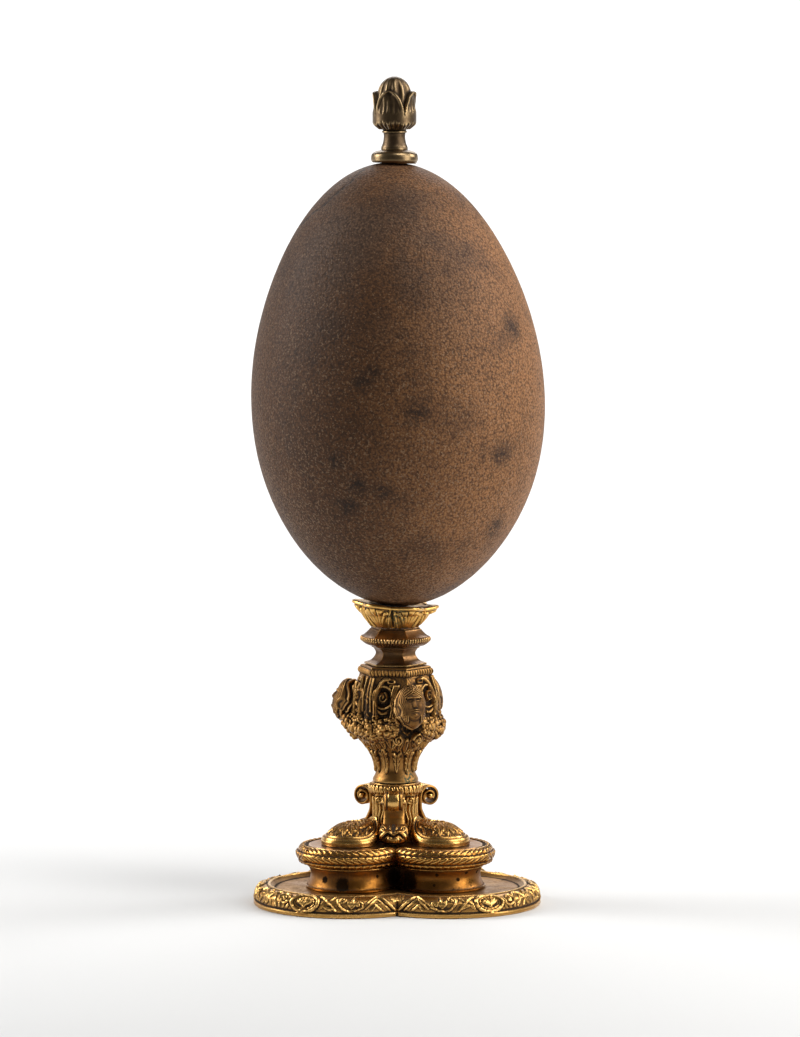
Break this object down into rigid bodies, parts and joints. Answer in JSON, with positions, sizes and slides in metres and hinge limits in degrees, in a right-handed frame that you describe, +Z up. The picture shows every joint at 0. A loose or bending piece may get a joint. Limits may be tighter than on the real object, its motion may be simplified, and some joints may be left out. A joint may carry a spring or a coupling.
{
  "type": "emu egg on stand",
  "caption": "Upright brown emu egg held in the leaf cup of a cast gilt stand with masks, scroll brackets and a lobed foot, topped by a dark bud finial.",
  "frame": {"origin": "under the stem's axis, on the flat underside of the foot", "axes": "+Z up along the stem, -Y towards the front between two lobes of the foot, +X to the viewer's right"},
  "size_m": [0.0898, 0.0906, 0.2507],
  "materials": {
    "gilt_bronze": "cast bronze, gilded, rubbed bright on the high places and dark brown in the recesses",
    "eggshell": "aged emu eggshell, brown, finely pebbled, with pale flecks and dark spots",
    "dark_bronze": "cast bronze, brown patina with a dull shine"
  },
  "bodies": {
    "root": {"foot": "gilt_bronze", "drum": "gilt_bronze", "dome_1": "gilt_bronze", "dome_2": "gilt_bronze", "dome_3": "gilt_bronze", "stem": "gilt_bronze", "bracket_1": "gilt_bronze", "bracket_2": "gilt_bronze", "bracket_3": "gilt_bronze", "collar": "gilt_bronze", "vase": "gilt_bronze", "mask_1": "gilt_bronze", "mask_2": "gilt_bronze", "mask_3": "gilt_bronze", "neck": "gilt_bronze", "cup": "gilt_bronze", "egg": "eggshell", "finial_collar": "dark_bronze", "finial_bud": "dark_bronze"}
  },
  "joints": []
}
